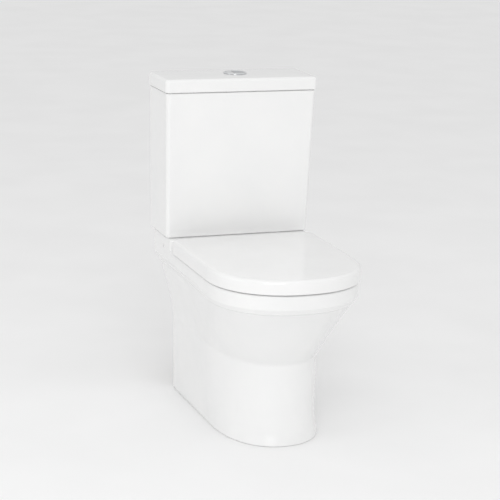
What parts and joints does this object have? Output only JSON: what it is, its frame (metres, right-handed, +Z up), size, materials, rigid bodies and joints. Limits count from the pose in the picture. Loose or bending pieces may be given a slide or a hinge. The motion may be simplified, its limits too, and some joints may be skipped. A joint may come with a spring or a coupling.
{
  "type": "close coupled toilet",
  "caption": "Close coupled toilet: open-backed ceramic pan, dual flush cistern with inner valves, wrap-over seat and lid on hinges.",
  "frame": {"origin": "on the floor, under the middle of the outer box: 299 mm in front of the wall plane, on the plane of symmetry", "axes": "+Z up, +Y from the front of the pan towards the wall, +X to the right of a person facing the toilet from the front"},
  "size_m": [0.385, 0.598, 0.8023],
  "materials": {
    "china": "gloss glaze",
    "seat_plastic": "polished duroplast",
    "chrome": "mirror chrome",
    "satin_chrome": "satin chrome",
    "white_plastic": "moulded plastic",
    "blue_plastic": "moulded plastic",
    "grey_plastic": "moulded plastic",
    "rubber": "matt rubber",
    "foam": "sponge rubber",
    "steel": "zinc plated and stainless steel"
  },
  "bodies": {
    "frame": {"pan": "china", "cistern_tank": "china", "flush_valve_basket": "white_plastic", "lever_pin_left": "steel", "lever_pin_right": "steel", "valve_gasket": "rubber", "valve_backnut": "grey_plastic", "coupling_doughnut": "foam", "fill_valve_body": "white_plastic", "inlet_gasket": "rubber", "inlet_backnut": "white_plastic", "coupling_bolt_left": "steel", "coupling_bolt_right": "steel", "tank_washer_left": "rubber", "tank_washer_right": "rubber", "pan_washer_left": "rubber", "pan_washer_right": "rubber", "coupling_wing_nut_left": "steel", "coupling_wing_nut_right": "steel", "hinge_post_left": "chrome", "hinge_post_right": "chrome", "hinge_pin_left": "steel", "hinge_pin_right": "steel", "seat_bolt_left": "steel", "seat_bolt_right": "steel", "seat_washer_left": "rubber", "seat_washer_right": "rubber", "seat_wing_nut_left": "white_plastic", "seat_wing_nut_right": "white_plastic"},
    "tank_cover": {"cistern_lid": "china", "button_bezel": "chrome", "button_nut": "white_plastic"},
    "full_button": {"full_flush_button": "satin_chrome", "full_flush_rod": "blue_plastic"},
    "half_button": {"half_flush_button": "chrome", "half_flush_rod": "white_plastic"},
    "full_lever": {"full_flush_lever": "grey_plastic"},
    "half_lever": {"half_flush_lever": "grey_plastic"},
    "valve_lift": {"lift_tube": "blue_plastic", "valve_seal": "rubber"},
    "float": {"fill_valve_float": "blue_plastic", "float_link": "grey_plastic"},
    "arm": {"float_arm": "grey_plastic"},
    "ring": {"seat_ring": "seat_plastic", "ring_buffer_back_left": "white_plastic", "ring_buffer_back_right": "white_plastic", "ring_buffer_front_left": "white_plastic", "ring_buffer_front_right": "white_plastic"},
    "lid": {"seat_lid": "seat_plastic", "lid_buffer_left": "white_plastic", "lid_buffer_right": "white_plastic"}
  },
  "joints": [
    {"name": "cistern_lid_lift", "type": "slide", "parent": "frame", "child": "tank_cover", "axis": [0, 0, 1], "range_m": [0, 0.12]},
    {"name": "full_flush_press", "type": "slide", "parent": "tank_cover", "child": "full_button", "axis": [0, 0, -1], "range_m": [0, 0.005], "stiffness_N_per_m": 500, "springref_m": -0.002},
    {"name": "half_flush_press", "type": "slide", "parent": "tank_cover", "child": "half_button", "axis": [0, 0, -1], "range_m": [0, 0.005], "stiffness_N_per_m": 500, "springref_m": -0.002},
    {"name": "full_lever_turn", "type": "hinge", "parent": "frame", "child": "full_lever", "pos_m": [0, 0.237, 0.656], "axis": [-1, 0, 0], "range_deg": [0, 29]},
    {"name": "half_lever_turn", "type": "hinge", "parent": "frame", "child": "half_lever", "pos_m": [0, 0.237, 0.656], "axis": [-1, 0, 0], "range_deg": [0, 29]},
    {"name": "valve_lift_slide", "type": "slide", "parent": "frame", "child": "valve_lift", "axis": [0, 0, 1], "range_m": [0, 0.0101]},
    {"name": "float_rise", "type": "slide", "parent": "frame", "child": "float", "axis": [0, 0, 1], "range_m": [0, 0.027]},
    {"name": "arm_turn", "type": "hinge", "parent": "frame", "child": "arm", "pos_m": [0.15, 0.207, 0.652], "axis": [0, 1, 0], "range_deg": [0, 40]},
    {"name": "seat_ring_hinge", "type": "hinge", "parent": "frame", "child": "ring", "pos_m": [0, 0.106, 0.406], "axis": [1, 0, 0], "range_deg": [-92, 0]},
    {"name": "seat_lid_hinge", "type": "hinge", "parent": "ring", "child": "lid", "pos_m": [0, 0.106, 0.406], "axis": [-1, 0, 0], "range_deg": [0, 93]}
  ],
  "couplings": [
    {"joint": "full_lever_turn", "follows": "full_flush_press", "rad_per_m": 100},
    {"joint": "valve_lift_slide", "follows": "full_flush_press", "ratio": 2},
    {"joint": "half_lever_turn", "follows": "half_flush_press", "rad_per_m": 100},
    {"joint": "arm_turn", "follows": "float_rise", "rad_per_m": 25.5}
  ]
}
